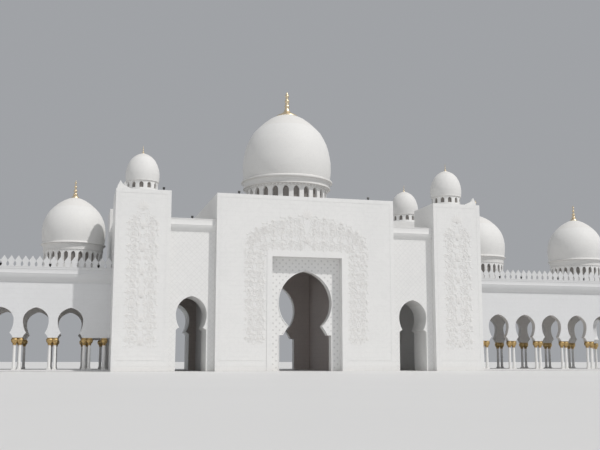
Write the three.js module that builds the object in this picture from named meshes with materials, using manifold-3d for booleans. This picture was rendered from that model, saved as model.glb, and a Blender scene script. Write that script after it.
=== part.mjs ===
// Domed courtyard gate with an arcade on each side, as a 1:10 model in millimetres.
// Z is up, the courtyard front faces -Y and the origin is the middle of the gate on the ground.

import * as THREE from 'three';
import { mergeGeometries, mergeVertices } from 'three/addons/utils/BufferGeometryUtils.js';
import Module from 'manifold-3d';

const wasm = await Module();
wasm.setup();

// Scale: one metre of the real building is this many millimetres of the model
const metre = 100;
const degree = Math.PI / 180;

// Clearance between neighbouring pieces, and how far joined shapes reach into each other
const gap = 0.3;
const overlap = 1;

// Gate block
const blockHalf = 12.0 * metre;
const blockTop = 22.7 * metre;
const gateDepth = 23.0 * metre;
const frontY = -gateDepth / 2;
const wallThick = 1.0 * metre;
const recessDepth = 1.05 * metre;
const recessHalf = 4.7 * metre;
const recessTop = 14.7 * metre;
const screenThick = 1.1 * metre;
const screenHalf = 6.4 * metre;
const screenTop = 16.5 * metre;
const hallHalf = 5.9 * metre;
const hallWallThick = 0.5 * metre;
const hallWallTop = 21.8 * metre;
const roofUnder = 21.9 * metre;
const roofThick = 0.4 * metre;

// Towers at the four corners
const towerInner = 17.85 * metre;
const towerWidth = 6.9 * metre;
const towerTop = 22.7 * metre;
const towerWall = 0.6 * metre;
const towerRoofThick = 0.4 * metre;
// A horn on each tower roof: distances in from the outer edge, and heights, in real metres
const hornShape = [[0.1, 0], [0.2, 0.5], [0.53, 1.15], [0.9, 0.6], [1.45, 0.35], [2.15, 0]];
const hornInset = 0.72 * metre;
const hornThick = 0.35 * metre;

// Bays between the block and the towers
const bayRecess = 1.15 * metre;
const bayPassageDepth = 4.2 * metre;
const bayPassageTop = 10.6 * metre;
const bayWallThick = 0.9 * metre;
const bayTop = 19.3 * metre;
const bayFasciaDrop = 0.85 * metre;
const bayCornerDrop = 1.74 * metre;
const bayCornerReach = 0.8 * metre;
const bayRoofUnder = 18.2 * metre;
const sideWallThick = 0.8 * metre;

// Arcades
const bayPitch = 4.20 * metre;
const firstPier = 27.55 * metre;
const bayCount = 6;
const endPier = 25.05 * metre;
const rowFrontY = frontY + 5.3 * metre;
const rowBackY = frontY + 17.1 * metre;
const arcadeMidY = (rowFrontY + rowBackY) / 2;
const arcadeWallThick = 0.8 * metre;
const arcadeWallTop = 10.95 * metre;
const corniceTop = 12.2 * metre;
const fasciaTop = 12.85 * metre;
const merlonTop = 14.35 * metre;
const merlonWide = 0.85 * metre;
const corniceReach = 0.6 * metre;
const corniceEdge = 0.35 * metre;
const parapetThick = 0.45 * metre;
const arcadeRoofThick = 0.35 * metre;
const stepHeight = 0.2 * metre;
const stepEdge = 0.75 * metre;
const capitalTop = 4.15 * metre;
const capitalBase = 3.25 * metre;
const capitalHalf = 0.36 * metre;
const shaftRadius = 0.18 * metre;
const columnPairHalf = 0.325 * metre;
const shaftSides = 6;
const endBays = 3;

// Keyhole arches: half widths and heights above the ground
const portalArch = {
  half: 3.57 * metre, widest: 8.8 * metre, apex: 12.95 * metre,
  neckHalf: 2.25 * metre, neck: 5.8 * metre,
  shoulderHalf: 3.0 * metre, shoulder: 4.6 * metre, jambHalf: 3.5 * metre, steps: 10,
};
const bayArch = {
  half: 1.95 * metre, widest: 7.1 * metre, apex: 9.42 * metre,
  neckHalf: 1.5 * metre, neck: 5.42 * metre,
  shoulderHalf: 1.93 * metre, shoulder: 5.1 * metre, jambHalf: 1.93 * metre, steps: 8,
};
const arcadeArch = {
  half: 1.555 * metre, widest: 6.3 * metre, apex: 7.93 * metre,
  neckHalf: 1.12 * metre, neck: 4.74 * metre,
  shoulderHalf: 1.52 * metre, shoulder: capitalTop, jambHalf: 1.52 * metre, steps: 5,
};

// Domes: radii and heights; shell is the thickness of the drum and the dome, and fullness
// is how late the dome turns in towards its apex; turned is the angle of the first window
// from the front
const mainDome = {
  foot: roofUnder + roofThick + gap, drum: 5.75 * metre, shell: 0.45 * metre,
  ring: 26.8 * metre, ringRadius: 6.67 * metre, ringDrop: 0.6 * metre,
  neck: 6.2 * metre, radius: 6.4 * metre, widest: 29.0 * metre, apex: 37.5 * metre, fullness: 0.66,
  windows: 24, windowWide: 0.85 * metre, windowLow: 23.9 * metre, windowHigh: 25.4 * metre,
  finial: 3.0 * metre, sides: 24, rings: 8, turned: 0,
};
const towerDome = {
  foot: towerTop + gap, drum: 2.0 * metre, shell: 0.25 * metre,
  ring: 24.35 * metre, ringRadius: 2.15 * metre, ringDrop: 0.15 * metre,
  neck: 2.16 * metre, radius: 2.2 * metre, widest: 25.1 * metre, apex: 28.1 * metre, fullness: 0.58,
  windows: 12, windowWide: 0.54 * metre, windowLow: 23.25 * metre, windowHigh: 24.0 * metre,
  finial: 1.1 * metre, sides: 12, rings: 5, turned: -8 * degree,
};
const arcadeDome = {
  foot: corniceTop + gap, drum: 3.87 * metre, shell: 0.3 * metre,
  ring: 16.6 * metre, ringRadius: 4.23 * metre, ringDrop: 0.25 * metre,
  neck: 4.06 * metre, radius: 4.18 * metre, widest: 18.0 * metre, apex: 23.15 * metre, fullness: 0.6,
  windows: 26, windowWide: 0.48 * metre, windowLow: 13.9 * metre, windowHigh: 15.6 * metre,
  finial: 2.2 * metre, sides: 26, rings: 5, turned: 0,
};
const domeBays = [0, 4];

// Materials from the photo
const marble = { color: 0xe6e7e8, roughness: 0.45, metalness: 0 };
const shadedStone = { color: 0xcfcac4, roughness: 0.6, metalness: 0 };
const gilt = { color: 0xb98a3c, roughness: 0.35, metalness: 0.9 };

const model = new THREE.Group();

function addPiece(name, geometry, look) {
  const mesh = new THREE.Mesh(geometry, new THREE.MeshStandardMaterial(look));
  mesh.name = name;
  model.add(mesh);
  return mesh;
}

// Solids: joins and cuts on closed meshes
function toSolid(geometry) {
  const bare = geometry.clone();
  bare.deleteAttribute('normal');
  bare.deleteAttribute('uv');
  const merged = mergeVertices(bare, 1e-3);
  return new wasm.Manifold(new wasm.Mesh({
    numProp: 3,
    vertProperties: new Float32Array(merged.attributes.position.array),
    triVerts: new Uint32Array(merged.index.array),
  }));
}

function toGeometry(solid) {
  const mesh = solid.getMesh();
  const geometry = new THREE.BufferGeometry();
  geometry.setAttribute('position', new THREE.BufferAttribute(new Float32Array(mesh.vertProperties), 3));
  geometry.setIndex(new THREE.BufferAttribute(new Uint32Array(mesh.triVerts), 1));
  geometry.computeVertexNormals();
  return geometry;
}

function join(geometries) {
  return toGeometry(geometries.map(toSolid).reduce((all, next) => all.add(next)));
}

function cut(geometry, cutters) {
  return toGeometry(cutters.map(toSolid).reduce((all, next) => all.subtract(next), toSolid(geometry)));
}

// Boxes and extrusions placed by their lowest corner
function box(x0, x1, y0, y1, z0, z1) {
  const geometry = new THREE.BoxGeometry(x1 - x0, y1 - y0, z1 - z0);
  return geometry.translate((x0 + x1) / 2, (y0 + y1) / 2, (z0 + z1) / 2);
}

function shapeOf(points) {
  return new THREE.Shape(points.map(([a, b]) => new THREE.Vector2(a, b)));
}

// An outline of x and z pushed back along y
function acrossY(points, y0, thickness) {
  const geometry = new THREE.ExtrudeGeometry(shapeOf(points), { depth: thickness, bevelEnabled: false });
  return geometry.rotateX(Math.PI / 2).translate(0, y0 + thickness, 0);
}

// An outline of y and z pushed along x
function acrossX(points, x0, thickness) {
  const geometry = new THREE.ExtrudeGeometry(shapeOf(points), { depth: thickness, bevelEnabled: false });
  return geometry.rotateX(Math.PI / 2).rotateZ(Math.PI / 2).translate(x0, 0, 0);
}

// An outline of x and y raised along z
function upZ(points, z0, thickness, holes = []) {
  const shape = shapeOf(points);
  holes.forEach(({ x, y, radius, sides }) => {
    const hole = new THREE.Path();
    for (let i = 0; i <= sides; i += 1) {
      const turn = -2 * Math.PI * i / sides;
      const at = [x + radius * Math.cos(turn), y + radius * Math.sin(turn)];
      if (i === 0) hole.moveTo(...at);
      else hole.lineTo(...at);
    }
    shape.holes.push(hole);
  });
  const geometry = new THREE.ExtrudeGeometry(shape, { depth: thickness, bevelEnabled: false });
  return geometry.translate(0, 0, z0);
}

// A keyhole's outline from its left foot over the apex to its right foot
function keyhole(arch, centre, floor) {
  const right = [[arch.jambHalf, floor]];
  if (arch.shoulder > floor) right.push([arch.jambHalf, arch.shoulder]);
  if (arch.shoulderHalf < arch.jambHalf) right.push([arch.shoulderHalf, arch.shoulder]);
  const dip = Math.acos(arch.neckHalf / arch.half);
  const reach = (arch.widest - arch.neck) / Math.sin(dip);
  for (let i = 0; i < arch.steps; i += 1) {
    const turn = -dip * (1 - i / arch.steps);
    right.push([arch.half * Math.cos(turn), arch.widest + reach * Math.sin(turn)]);
  }
  const rise = arch.apex - arch.widest;
  const offset = (rise * rise - arch.half * arch.half) / (2 * arch.half);
  const bow = arch.half + offset;
  const last = Math.atan2(rise, offset);
  for (let i = 0; i <= arch.steps; i += 1) {
    const turn = last * i / arch.steps;
    right.push([bow * Math.cos(turn) - offset, arch.widest + bow * Math.sin(turn)]);
  }
  right[right.length - 1][0] = 0;
  const left = right.slice(0, -1).map(([x, z]) => [-x, z]);
  return [...left, ...right.reverse()].map(([x, z]) => [x + centre, z]);
}

// A wall outline from one end to the other with keyholes rising from its foot
function pierced(from, to, foot, top, arches) {
  return [[from, foot], ...arches.flat(), [to, foot], [to, top], [from, top]];
}

const backY = -frontY;
const sides = [
  { name: 'left', sign: -1 },
  { name: 'right', sign: 1 },
];

// Turns a front piece round to the back, or a right piece to the left
function mirrored(geometry, x, y) {
  const flipped = geometry.clone().scale(x, y, 1);
  if (x * y > 0) return flipped;
  const index = flipped.index ? Array.from(flipped.index.array)
    : Array.from({ length: flipped.attributes.position.count }, (_, i) => i);
  for (let i = 0; i < index.length; i += 3) {
    const held = index[i];
    index[i] = index[i + 1];
    index[i + 1] = held;
  }
  flipped.setIndex(index);
  flipped.computeVertexNormals();
  return flipped;
}

// Gate block: front and back walls, keyhole screens, side walls, hall walls and roof
function gateBlock() {
  const outline = [
    [-blockHalf, 0], [-recessHalf, 0], [-recessHalf, recessTop], [recessHalf, recessTop],
    [recessHalf, 0], [blockHalf, 0], [blockHalf, blockTop], [-blockHalf, blockTop],
  ];
  const faceWall = acrossY(outline, frontY, recessDepth);
  const screenY = frontY + recessDepth + gap;
  const screenOutline = pierced(-screenHalf, screenHalf, 0, screenTop, [keyhole(portalArch, 0, 0)]);
  const screen = acrossY(screenOutline, screenY, screenThick);
  addPiece('gate_front_wall', faceWall, marble);
  addPiece('portal_front_screen', screen, marble);
  addPiece('gate_back_wall', mirrored(faceWall, 1, -1), marble);
  addPiece('portal_back_screen', mirrored(screen, 1, -1), marble);
  const insideY = frontY + recessDepth + gap;
  const hallY = screenY + screenThick + gap;
  sides.forEach(({ name, sign }) => {
    const outer = box(blockHalf - wallThick, blockHalf, insideY, -insideY, 0, blockTop);
    addPiece(`gate_side_wall_${name}`, mirrored(outer, sign, 1), marble);
    const inner = box(hallHalf, hallHalf + hallWallThick, hallY, -hallY, 0, hallWallTop);
    addPiece(`hall_wall_${name}`, mirrored(inner, sign, 1), shadedStone);
  });
  const roofX = blockHalf - wallThick - gap;
  const roofY = -insideY - gap;
  const rim = [[-roofX, -roofY], [roofX, -roofY], [roofX, roofY], [-roofX, roofY]];
  const eye = { x: 0, y: 0, radius: mainDome.drum - mainDome.shell, sides: mainDome.sides };
  addPiece('gate_roof', upZ(rim, roofUnder, roofThick, [eye]), shadedStone);
}

// Drum, ring and dome as one shell open below, windows cut through the drum
function domeShell(dome, finial) {
  const outer = [[dome.drum, dome.foot], [dome.drum, dome.ring - dome.ringDrop * 1.6]];
  outer.push([dome.ringRadius, dome.ring - dome.ringDrop], [dome.ringRadius, dome.ring]);
  outer.push([dome.neck, dome.ring + dome.ringDrop * 0.5]);
  const inner = [[dome.drum - dome.shell, dome.foot]];
  const rise = dome.apex - dome.widest;
  for (let i = 0; i < dome.rings; i += 1) {
    const share = Math.sin(i / dome.rings * Math.PI / 2);
    const swell = (1 - share ** 2.1) ** dome.fullness;
    outer.push([dome.radius * swell, dome.widest + rise * share]);
    const insideHigh = dome.widest + (rise - dome.shell) * share;
    if (i % 2 === 0) inner.push([(dome.radius - dome.shell) * swell, insideHigh]);
  }
  inner.push([0, dome.apex - dome.shell]);
  if (finial) outer.push(...finialProfile(dome));
  else outer.push([0, dome.apex]);
  const profile = [...outer, ...inner.reverse(), [dome.drum, dome.foot]];
  const first = dome.turned - Math.PI / 2;
  const shell = lathe(profile, dome.sides).rotateZ(Math.PI / dome.sides + first);
  const panes = [];
  for (let i = 0; i < dome.windows; i += 1) {
    const turn = 2 * Math.PI * i / dome.windows + first;
    const pane = box(dome.drum - dome.shell * 2, dome.drum + dome.shell, -dome.windowWide / 2,
      dome.windowWide / 2, dome.windowLow, dome.windowHigh);
    panes.push(pane.rotateZ(turn));
  }
  return cut(shell, [mergeGeometries(panes)]);
}

// Stacked balls on a short stem
function finialProfile(dome) {
  const high = dome.finial;
  const ball = high * 0.13;
  return [
    [ball * 0.5, dome.apex + high * 0.02], [ball, dome.apex + high * 0.2],
    [ball * 0.35, dome.apex + high * 0.36], [ball * 0.75, dome.apex + high * 0.5],
    [ball * 0.25, dome.apex + high * 0.68], [0, dome.apex + high],
  ];
}

// A turned solid about the z axis from [radius, height] points
function lathe(points, segments) {
  const turned = new THREE.LatheGeometry(points.map(([r, z]) => new THREE.Vector2(r, z)), segments);
  return turned.rotateX(Math.PI / 2);
}

function mainDomePieces() {
  addPiece('main_dome', domeShell(mainDome, false), marble);
  const profile = [[0, mainDome.apex + gap], ...finialProfile({ ...mainDome, apex: mainDome.apex + gap })];
  addPiece('main_finial', lathe(profile, 12), gilt);
}

// Corner towers: square tubes closed by a roof, each with a small dome and a horn at its outer edge
function towers() {
  const x0 = towerInner;
  const x1 = towerInner + towerWidth;
  const y0 = frontY;
  const y1 = frontY + towerWidth;
  const solid = box(x0, x1, y0, y1, 0, towerTop);
  const hollow = box(x0 + towerWall, x1 - towerWall, y0 + towerWall, y1 - towerWall,
    -metre, towerTop - towerRoofThick);
  const horn = acrossY(hornShape.map(([inwards, up]) => [x1 - inwards * metre, towerTop - overlap + up * metre]),
    y0 + hornInset, hornThick);
  const shaft = join([cut(solid, [hollow]), horn]);
  const shell = domeShell(towerDome, true);
  ['front', 'back'].forEach((row, back) => {
    sides.forEach(({ name, sign }) => {
      const turn = back ? -1 : 1;
      addPiece(`tower_${row}_${name}`, mirrored(shaft, sign, turn), marble);
      const dome = addPiece(`tower_dome_${row}_${name}`, shell.clone(), marble);
      dome.position.set(sign * (x0 + x1) / 2, turn * (y0 + y1) / 2, 0);
    });
  });
}

// Recessed bays: keyhole passage, wall above it and a hollow cornice
function bays() {
  const x0 = blockHalf + gap;
  const x1 = towerInner - gap;
  const centre = (x0 + x1) / 2;
  const y0 = frontY + bayRecess;
  const opening = keyhole(bayArch, centre, 0);
  const passage = acrossY(pierced(x0, x1, 0, bayPassageTop, [opening]), y0, bayPassageDepth);
  const upper = box(x0, x1, y0, y0 + bayWallThick, bayPassageTop - overlap, bayTop);
  const lip = y0 - bayCornerReach;
  const cornice = acrossX([
    [y0 + overlap, bayTop - bayCornerDrop], [y0, bayTop - bayCornerDrop],
    [y0 - bayCornerReach * 0.3, bayTop - bayCornerDrop * 0.75],
    [lip, bayTop - bayFasciaDrop], [lip, bayTop], [y0 + overlap, bayTop],
  ], x0, x1 - x0);
  const wall = join([passage, upper, cornice]);
  ['front', 'back'].forEach((row, back) => {
    sides.forEach(({ name, sign }) => {
      addPiece(`bay_wall_${row}_${name}`, mirrored(wall, sign, back ? -1 : 1), marble);
    });
  });
  const wallY = y0 + bayWallThick + gap;
  const towerY = frontY + towerWidth + gap;
  const outerX = towerInner + towerWidth - sideWallThick - gap;
  const plan = [
    [x0, wallY], [x1, wallY], [x1, towerY], [outerX, towerY],
    [outerX, -towerY], [x1, -towerY], [x1, -wallY], [x0, -wallY],
  ];
  const roof = upZ(plan, bayRoofUnder, roofThick);
  const link = box(outerX + gap, outerX + gap + sideWallThick, towerY, -towerY, corniceTop + gap, bayTop);
  sides.forEach(({ name, sign }) => {
    addPiece(`bay_roof_${name}`, mirrored(roof, sign, 1), shadedStone);
    addPiece(`side_wall_${name}`, mirrored(link, sign, 1), marble);
  });
}

// Arcade bay centres and the far end of the row
const lastPier = firstPier + bayCount * bayPitch;
const arcadeStart = towerInner + towerWidth + gap;
const arcadeEnd = lastPier + arcadeWallThick / 2;
const endPitch = (rowBackY - rowFrontY) / endBays;

function rowArches() {
  const arches = [];
  for (let i = 0; i < bayCount; i += 1) {
    arches.push(keyhole(arcadeArch, firstPier + (i + 0.5) * bayPitch, capitalTop));
  }
  return arches;
}

function arcadeWalls() {
  const half = arcadeWallThick / 2;
  const outline = pierced(arcadeStart, arcadeEnd, capitalTop + gap, arcadeWallTop, rowArches());
  const front = acrossY(outline, rowFrontY - half, arcadeWallThick);
  const back = acrossY(outline, rowBackY - half, arcadeWallThick);
  const ends = [];
  for (let i = 0; i < endBays; i += 1) {
    ends.push(keyhole(arcadeArch, rowFrontY + (i + 0.5) * endPitch, capitalTop));
  }
  const endInset = half + gap;
  const endOutline = pierced(rowFrontY + endInset, rowBackY - endInset, capitalTop + gap, arcadeWallTop, ends);
  const end = acrossX(endOutline, lastPier - half, arcadeWallThick);
  return { front, back, end };
}

// A cornice with a row of pointed merlons, as a U round three sides
function parapet() {
  const half = arcadeWallThick / 2;
  const count = Math.round((arcadeEnd + corniceReach - arcadeStart) / merlonWide);
  const out = half + corniceReach;
  const strip = (from, to, teeth) => {
    const pitch = (to - from) / teeth;
    const points = [[from, corniceTop], [to, corniceTop]];
    for (let i = teeth - 1; i >= 0; i -= 1) {
      const middle = from + (i + 0.5) * pitch;
      points.push([middle + pitch * 0.5, fasciaTop], [middle, merlonTop]);
    }
    points.push([from, fasciaTop]);
    return points;
  };
  const far = lastPier + out;
  const front = acrossY(strip(arcadeStart, far, count), rowFrontY - out, parapetThick);
  const back = acrossY(strip(arcadeStart, far, count), rowBackY + out - parapetThick, parapetThick);
  const teeth = Math.round((rowBackY - rowFrontY + 2 * out) / merlonWide);
  const end = acrossX(strip(rowFrontY - out, rowBackY + out, teeth), far - parapetThick, parapetThick);
  const flare = (sign, row) => [
    [row - sign * half, arcadeWallTop + gap], [row + sign * half, arcadeWallTop + gap],
    [row + sign * (half + corniceReach * 0.35), arcadeWallTop + (corniceTop - arcadeWallTop) * 0.55],
    [row + sign * out, corniceTop - corniceEdge], [row + sign * out, corniceTop + overlap],
    [row - sign * half, corniceTop + overlap],
  ];
  const beam = (sign, row) => {
    const points = flare(sign, row);
    if (sign < 0) points.reverse();
    return acrossX(points, arcadeStart, far - arcadeStart);
  };
  const endBeam = acrossY(flare(1, lastPier), rowFrontY - out, rowBackY - rowFrontY + 2 * out);
  return join([front, back, end, beam(-1, rowFrontY), beam(1, rowBackY), endBeam]);
}

// Twin columns with flared capitals standing on one low step
function colonnade() {
  const column = lathe([
    [0, stepHeight - overlap], [shaftRadius, stepHeight - overlap], [shaftRadius, capitalBase],
    [capitalHalf, capitalTop], [0, capitalTop],
  ], shaftSides);
  const stepEnd = lastPier + stepEdge;
  const parts = [box(arcadeStart, stepEnd, rowFrontY - stepEdge, rowBackY + stepEdge, 0, stepHeight)];
  const place = (x, y) => parts.push(column.clone().translate(x, y, 0));
  [rowFrontY, rowBackY].forEach((y) => {
    place(endPier + capitalHalf, y);
    for (let i = 0; i <= bayCount; i += 1) {
      place(firstPier + i * bayPitch - columnPairHalf, y);
      place(firstPier + i * bayPitch + columnPairHalf, y);
    }
  });
  for (let i = 1; i < endBays; i += 1) {
    place(lastPier, rowFrontY + i * endPitch - columnPairHalf);
    place(lastPier, rowFrontY + i * endPitch + columnPairHalf);
  }
  return join(parts);
}

function arcadeRoof() {
  const half = arcadeWallThick / 2;
  const x0 = arcadeStart;
  const x1 = lastPier - half - gap;
  const y0 = rowFrontY + half + gap;
  const y1 = rowBackY - half - gap;
  const holes = domeBays.map((bay) => ({
    x: firstPier + (bay + 0.5) * bayPitch, y: arcadeMidY,
    radius: arcadeDome.drum - arcadeDome.shell, sides: arcadeDome.sides,
  }));
  return upZ([[x0, y0], [x1, y0], [x1, y1], [x0, y1]], corniceTop - arcadeRoofThick, arcadeRoofThick, holes);
}

function arcades() {
  const { front, back, end } = arcadeWalls();
  const shell = domeShell(arcadeDome, true);
  const pieces = {
    front_wall: [front, marble], back_wall: [back, marble], end_wall: [end, marble],
    parapet: [parapet(), marble], columns: [colonnade(), marble], roof: [arcadeRoof(), shadedStone],
  };
  sides.forEach(({ name, sign }) => {
    Object.entries(pieces).forEach(([part, [geometry, look]]) => {
      addPiece(`arcade_${name}_${part}`, mirrored(geometry, sign, 1), look);
    });
    domeBays.forEach((bay, i) => {
      const dome = addPiece(`arcade_dome_${name}_${i + 1}`, shell.clone(), marble);
      dome.position.set(sign * (firstPier + (bay + 0.5) * bayPitch), arcadeMidY, 0);
    });
  });
}

gateBlock();
mainDomePieces();
towers();
bays();
arcades();

export default model;
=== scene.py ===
import bpy
import bmesh
import cmath
import math
import random
from mathutils import Matrix, Vector


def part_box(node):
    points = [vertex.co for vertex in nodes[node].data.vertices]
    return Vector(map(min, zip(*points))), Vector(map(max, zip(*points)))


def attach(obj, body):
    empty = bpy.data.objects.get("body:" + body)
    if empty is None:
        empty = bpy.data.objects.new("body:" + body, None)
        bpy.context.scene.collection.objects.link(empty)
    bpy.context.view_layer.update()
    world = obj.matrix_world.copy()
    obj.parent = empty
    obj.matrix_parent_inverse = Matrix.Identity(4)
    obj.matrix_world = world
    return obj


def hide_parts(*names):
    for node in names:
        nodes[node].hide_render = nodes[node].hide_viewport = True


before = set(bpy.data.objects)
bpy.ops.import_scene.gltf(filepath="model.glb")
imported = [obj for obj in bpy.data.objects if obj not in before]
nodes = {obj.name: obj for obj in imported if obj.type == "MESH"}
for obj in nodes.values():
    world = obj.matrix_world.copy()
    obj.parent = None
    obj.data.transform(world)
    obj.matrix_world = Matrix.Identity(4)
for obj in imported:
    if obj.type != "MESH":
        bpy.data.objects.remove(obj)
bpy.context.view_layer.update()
metre = 0.1  # one metre of the real building in this 1:10 model
# The right front is drawn, and flipped copies make the rest
frontBack = (("front", 1, 1), ("back", 1, -1))
leftRight = (("left", -1, 1), ("right", 1, 1))
fourCorners = [(f"{row}_{side}", x, y) for row, _, y in frontBack for side, x, _ in leftRight]
print("frame loaded,", len(nodes), "nodes")


# A socket that takes part in sums, and makes the nodes that follow it
class Wire:
    def __init__(self, tree, socket=None):
        self.tree = tree
        self.socket = socket

    def make(self, kind, values, output=0, **settings):
        node = self.tree.nodes.new("ShaderNode" + kind)
        for key, value in settings.items():
            setattr(node, key, value)
        for key, value in values.items():
            if isinstance(value, Wire):
                self.tree.links.new(value.socket, node.inputs[key])
            else:
                node.inputs[key].default_value = value
        return Wire(self.tree, node.outputs[output] if node.outputs else None)

    def math(self, operation, other=0):
        return self.make("Math", {0: self, 1: other}, operation=operation)

    def __add__(self, other):
        return self.math("ADD", other)

    def __sub__(self, other):
        return self.math("SUBTRACT", other)

    def __mul__(self, other):
        return self.math("MULTIPLY", other)

    def __truediv__(self, other):
        return self.math("DIVIDE", other)

    def __abs__(self):
        return self.math("ABSOLUTE")

    def __gt__(self, other):
        return self.math("GREATER_THAN", other)

    def __lt__(self, other):
        return self.math("LESS_THAN", other)

    # This socket is the mask between two colours
    def blend(self, first, second):
        return self.make("Mix", {0: self, 6: first, 7: second}, 2, data_type="RGBA")

    def noise(self, scale, detail, distortion=0):
        values = {"Vector": self, "Scale": scale, "Detail": detail, "Distortion": distortion}
        return self.make("TexNoise", values)

    # Two stops of position and grey
    def ramp(self, *stops):
        wire = self.make("ValToRGB", {0: self})
        for element, (position, shade) in zip(wire.socket.node.color_ramp.elements, stops):
            element.position = position
            element.color = tone(shade)
        return wire


def tone(r, g=None, b=None):
    return (r, r if g is None else g, r if b is None else b, 1)


# A look in other shades, with whatever else it changes
def shades(look, light, dark, **changes):
    return {**look, "light": tone(*light), "dark": tone(*dark), **changes}


# The material, and the place on the object that its patterns start from
def newLook(name):
    material = bpy.data.materials.new(name)
    material.use_nodes = True
    material.node_tree.nodes.clear()
    return material, Wire(material.node_tree).make("TexCoord", {}, 3)


def closeLook(look, color, grain, height, fixed=None):
    normal = height.make("Bump", {"Height": height, "Distance": look["bump"]})
    shader = color.make("BsdfPrincipled", {
        "Base Color": color, "Roughness": grain * look["roughSwing"] + look["rough"], "Normal": normal,
        **(fixed or {})})
    shader.make("OutputMaterial", {"Surface": shader})


# Stone faces measured along the wall and up it, or across a roof
def facePlane(place):
    facing = place.make("NewGeometry", {}, 1)
    x, y, z = [place.make("SeparateXYZ", {0: place}, axis) for axis in range(3)]
    sideways, level = [abs(place.make("SeparateXYZ", {0: facing}, axis)) > 0.7 for axis in (0, 2)]
    return x + (y - x) * sideways, z + (y - z) * level


# Slabs with a grey of their own each, and the joints between them
def courses(along, up, look):
    sheet = along.make("CombineXYZ", {0: along, 1: up})
    slabs = sheet.make("TexBrick", {
        "Vector": sheet, "Scale": 1, "Mortar Size": look["jointWide"], "Mortar Smooth": look["jointSoft"],
        "Brick Width": look["panelWide"], "Row Height": look["panelHigh"],
        "Color1": tone(0), "Color2": tone(1), "Mortar": tone(0.5)}, offset=0.5)
    return slabs, Wire(slabs.tree, slabs.socket.node.outputs[1])


marbleLook = {
    "light": tone(0.81, 0.81, 0.8), "dark": tone(0.745, 0.75, 0.745), "vein": tone(0.62),
    "joint": tone(0.56, 0.56, 0.555), "foot": tone(0.66, 0.64, 0.61), "footLow": 0.02, "footHigh": 0.12,
    "panelWide": 0.12, "panelHigh": 0.06, "jointWide": 0.0006, "jointSoft": 0.3, "panelSwing": 0.1,
    "jointDepth": 0.32, "cloudScale": 2.3, "veinScale": 7, "grainScale": 90, "cloudy": 0.35,
    "veined": 0.12, "footed": 0.35, "rough": 0.34, "roughSwing": 0.16, "bump": 0.0006, "shine": 0.4,
}


def marble(name, look=marbleLook, pattern=None, depth=0, panels=True):
    material, place = newLook(name)
    along, up = facePlane(place)
    drift = place.noise(look["cloudScale"], 5)
    grain = place.noise(look["grainScale"], 3)
    swirl = place.noise(look["veinScale"], 8, 1.4)
    veins = abs(swirl - 0.5).ramp((0, 1), (0.06, 0))
    clouds = drift.ramp((0.35, 0), (0.7, 1))
    color = (clouds * look["cloudy"]).blend(look["light"], look["dark"])
    color = (veins * look["veined"]).blend(color, look["vein"])
    height = grain * 0.12
    if panels:
        slabs, joints = courses(along, up, look)
        color = (slabs * look["panelSwing"]).blend(color, look["dark"])
        color = (joints * look["jointDepth"]).blend(color, look["joint"])
        height = height - joints
    if pattern:
        mask = pattern(along, up)
        color = (mask * depth).blend(color, look["joint"])
        height = height - mask * 0.8
    # darker and warmer low down on each face
    foot = place.make("MapRange", {
        0: up + drift * 0.05, 1: look["footLow"], 2: look["footHigh"], 3: look["footed"], 4: 0}, clamp=True)
    color = foot.blend(color, look["foot"])
    closeLook(look, color, grain, height, {"Specular IOR Level": look["shine"]})
    return material


def wave(run, cell, shift=0):
    return (run / cell + shift).math("PINGPONG", 0.5)


# Crossed fillets that leave small diamonds
def diamondLattice(cell, line):
    def pattern(along, up):
        return wave(along + up, cell).math("MINIMUM", wave(along - up, cell)) < line
    return pattern


# Eight-pointed dots on a square grid, with one more in the middle of each square
def starDots(cell, size):
    def star(along, up, shift):
        a, b = wave(along, cell, shift), wave(up, cell, shift)
        square = a.math("MAXIMUM", b) < size
        return square.math("MAXIMUM", a + b < size * 1.414)

    def pattern(along, up):
        return star(along, up, 0).math("MAXIMUM", star(along, up, 0.5))
    return pattern


giltLook = {
    "light": tone(0.56, 0.4, 0.185), "dark": tone(0.36, 0.235, 0.105), "worn": 0.6,
    "rough": 0.33, "roughSwing": 0.18, "scale": 60, "bump": 0.0008,
}


def gilt(name, look=giltLook):
    material, place = newLook(name)
    patches = place.noise(look["scale"], 4)
    worn = patches.ramp((0.45, 0), (0.75, 1))
    color = (worn * look["worn"]).blend(look["light"], look["dark"])
    closeLook(look, color, patches, patches, {"Metallic": 1})
    return material


# Darker, browner stone for faces inside the building and behind arched walls: its colours are painted shade of
# those inside faces
stoneLook = {
    "light": tone(0.64, 0.585, 0.55), "dark": tone(0.54, 0.49, 0.46), "joint": tone(0.32, 0.29, 0.27),
    "panelWide": 0.12, "panelHigh": 0.06, "jointWide": 0.0009, "jointSoft": 0.1, "jointDepth": 0.6,
    "rough": 0.6, "roughSwing": 0.2, "scale": 25, "bump": 0.001,
}


def innerStone(name, look=stoneLook):
    material, place = newLook(name)
    along, up = facePlane(place)
    mottle = place.noise(look["scale"], 6)
    joints = courses(along, up, look)[1]
    color = (joints * look["jointDepth"]).blend(mottle.blend(look["light"], look["dark"]), look["joint"])
    closeLook(look, color, mottle, mottle * 0.3 - joints)
    return material


glassLook = {
    "light": tone(0.33, 0.31, 0.29), "dark": tone(0.185, 0.172, 0.16), "dusty": 0.5, "scale": 18,
    "rough": 0.08, "roughSwing": 0.25, "bump": 0.0003,
}


def darkGlass(name, look=glassLook):
    material, place = newLook(name)
    dust = place.noise(look["scale"], 5)
    color = (dust * look["dusty"]).blend(look["dark"], look["light"])
    closeLook(look, color, dust, dust, {"IOR": 1.5})
    return material


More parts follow.
